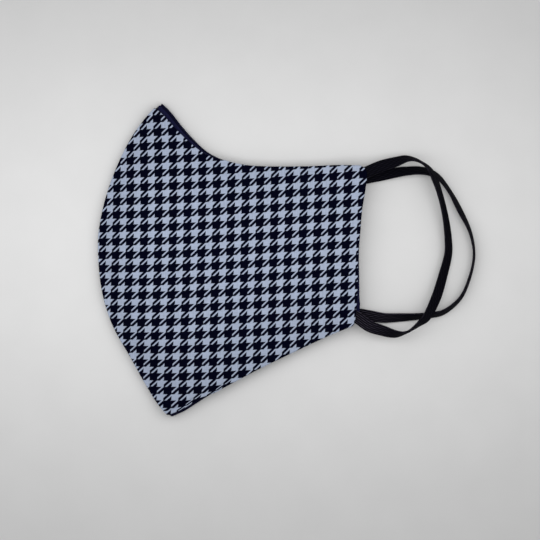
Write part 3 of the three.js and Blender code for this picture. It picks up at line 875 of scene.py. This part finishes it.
class MaskColours(bpy.types.PropertyGroup):
    """Colours of the mask's yarns and of the table"""

    light_yarn: bpy.props.FloatVectorProperty(
        name="Light yarn",
        description="Pale blue yarn of the houndstooth",
        default=linear("98A2B6"),
        subtype="COLOR",
    )
    dark_yarn: bpy.props.FloatVectorProperty(
        name="Dark yarn",
        description="Near-black yarn of the houndstooth",
        default=linear("040513"),
        subtype="COLOR",
    )
    lining: bpy.props.FloatVectorProperty(
        name="Lining",
        description="Navy of the lining",
        default=linear("141530"),
        subtype="COLOR",
    )
    elastic: bpy.props.FloatVectorProperty(
        name="Elastic",
        description="Near-black of the elastic",
        default=linear("04040A"),
        subtype="COLOR",
    )
    # Painted highlight: the paler colour laid on the rib crests, where they catch the light
    elastic_rib_highlight: bpy.props.FloatVectorProperty(
        name="Elastic rib",
        description="Crests of the elastic's ribs",
        default=linear("37333D"),
        subtype="COLOR",
    )
    table: bpy.props.FloatVectorProperty(
        name="Table",
        description="Pale grey of the table",
        default=linear("D2D2D2"),
        subtype="COLOR",
    )


def sizes():
    return bpy.context.scene.mask_sizes


def colours():
    return bpy.context.scene.mask_colours


class MASK_OT_outer_panels(bpy.types.Operator):
    """Makes the two houndstooth panels"""

    bl_idname = "mask.outer_panels"
    bl_label = "Outer panels"

    def execute(self, context):
        cloth = houndstooth_cotton()
        thickness, radius = sizes().cloth_thickness / MM, sizes().rim_radius / MM
        for level, rests_on in (("lower", ["table"]), ("upper", ["lining_upper"])):
            panel = f"outer_panel_{level}"
            mesh = cloth_panel(f"houndstooth_{level}", panel, OUTER_STEPS, thickness, radius)
            piece = object_from(f"houndstooth_{level}", mesh, panel, cloth)
        return {"FINISHED"}


class MASK_OT_linings(bpy.types.Operator):
    """Makes the two navy linings"""

    bl_idname = "mask.linings"
    bl_label = "Linings"

    def execute(self, context):
        cloth = navy_cotton()
        thickness, radius = sizes().cloth_thickness / MM, sizes().rim_radius / MM
        for level, rests_on in (("lower", ["outer_panel_lower"]), ("upper", ["lining_lower"])):
            panel = f"lining_{level}"
            mesh = cloth_panel(f"navy_{panel}", panel, LINING_STEPS, thickness, radius)
            piece = object_from(f"navy_{panel}", mesh, panel, cloth)
        return {"FINISHED"}


class MASK_OT_ear_loops(bpy.types.Operator):
    """Makes the two elastic ear loops"""

    bl_idname = "mask.ear_loops"
    bl_label = "Ear loops"

    def execute(self, context):
        elastic = braided_elastic()
        for loop in LOOP_ROUTES:
            mesh, path = elastic_band(f"elastic_{loop}", loop)
            piece = object_from(f"elastic_{loop}", mesh, loop, elastic)
        return {"FINISHED"}


# The camera looks straight down from here, in metres, and sees this width of the table
CAMERA_PLACE = (-0.00753, -0.00438, 0.5)
TABLE_IN_VIEW = 0.243
SENSOR_WIDTH = 36.0

# A low, wide lamp over the mask that shines straight down, in metres and watts, and the room's own light
LAMP_PLACE = (-0.038, 0.014, 0.13)
LAMP_SIZE = (0.36, 0.13)
LAMP_POWER = 0.218
ROOM_LIGHT = 0.61


class MASK_OT_stage(bpy.types.Operator):
    """Makes the table, the light and the camera"""

    bl_idname = "mask.stage"
    bl_label = "Stage"

    def execute(self, context):
        scene = context.scene
        bm = bmesh.new()
        bmesh.ops.create_grid(bm, x_segments=8, y_segments=8, size=3.0)
        bmesh.ops.translate(bm, verts=bm.verts, vec=(0, 0, -0.00005))
        mesh = bpy.data.meshes.new("table")
        bm.to_mesh(mesh)
        bm.free()
        mesh.materials.append(table_top())
        table = bpy.data.objects.new("table", mesh)
        scene.collection.objects.link(table)

        camera = bpy.data.cameras.new("camera")
        camera.sensor_width = SENSOR_WIDTH
        camera.lens = SENSOR_WIDTH * CAMERA_PLACE[2] / TABLE_IN_VIEW
        scene.camera = bpy.data.objects.new("camera", camera)
        scene.camera.location = CAMERA_PLACE
        scene.collection.objects.link(scene.camera)

        lamp = bpy.data.lights.new("soft lamp", "AREA")
        lamp.shape = "RECTANGLE"
        lamp.size, lamp.size_y = LAMP_SIZE
        lamp.energy = LAMP_POWER
        holder = bpy.data.objects.new("soft lamp", lamp)
        holder.location = LAMP_PLACE
        holder.visible_camera = False
        scene.collection.objects.link(holder)
        world = bpy.data.worlds.new("pale room")
        world.use_nodes = True
        world.node_tree.nodes["Background"].inputs["Color"].default_value = (1, 1, 1, 1)
        world.node_tree.nodes["Background"].inputs["Strength"].default_value = ROOM_LIGHT
        scene.world = world
        scene.view_settings.view_transform = "Standard"
        return {"FINISHED"}


class MASK_PT_sidebar(bpy.types.Panel):
    """The mask's pieces, sizes and colours"""

    bl_label = "Mask"
    bl_space_type = "VIEW_3D"
    bl_region_type = "UI"
    bl_category = "Mask"

    def draw(self, context):
        for group in (sizes(), colours()):
            for name in group.__annotations__:
                self.layout.prop(group, name)
        for operator in OPERATORS:
            self.layout.operator(operator.bl_idname)


OPERATORS = (MASK_OT_stage, MASK_OT_ear_loops, MASK_OT_outer_panels, MASK_OT_linings)
CLASSES = (MaskSizes, MaskColours, *OPERATORS, MASK_PT_sidebar)


def register():
    for made in CLASSES:
        bpy.utils.register_class(made)
    bpy.types.Scene.mask_sizes = bpy.props.PointerProperty(type=MaskSizes)
    bpy.types.Scene.mask_colours = bpy.props.PointerProperty(type=MaskColours)


def unregister():
    del bpy.types.Scene.mask_colours
    del bpy.types.Scene.mask_sizes
    for made in reversed(CLASSES):
        bpy.utils.unregister_class(made)


def main():
    register()
    bpy.ops.mask.stage()
    bpy.ops.mask.ear_loops()
    bpy.ops.mask.outer_panels()
    bpy.ops.mask.linings()


if __name__ == "__main__":
    main()
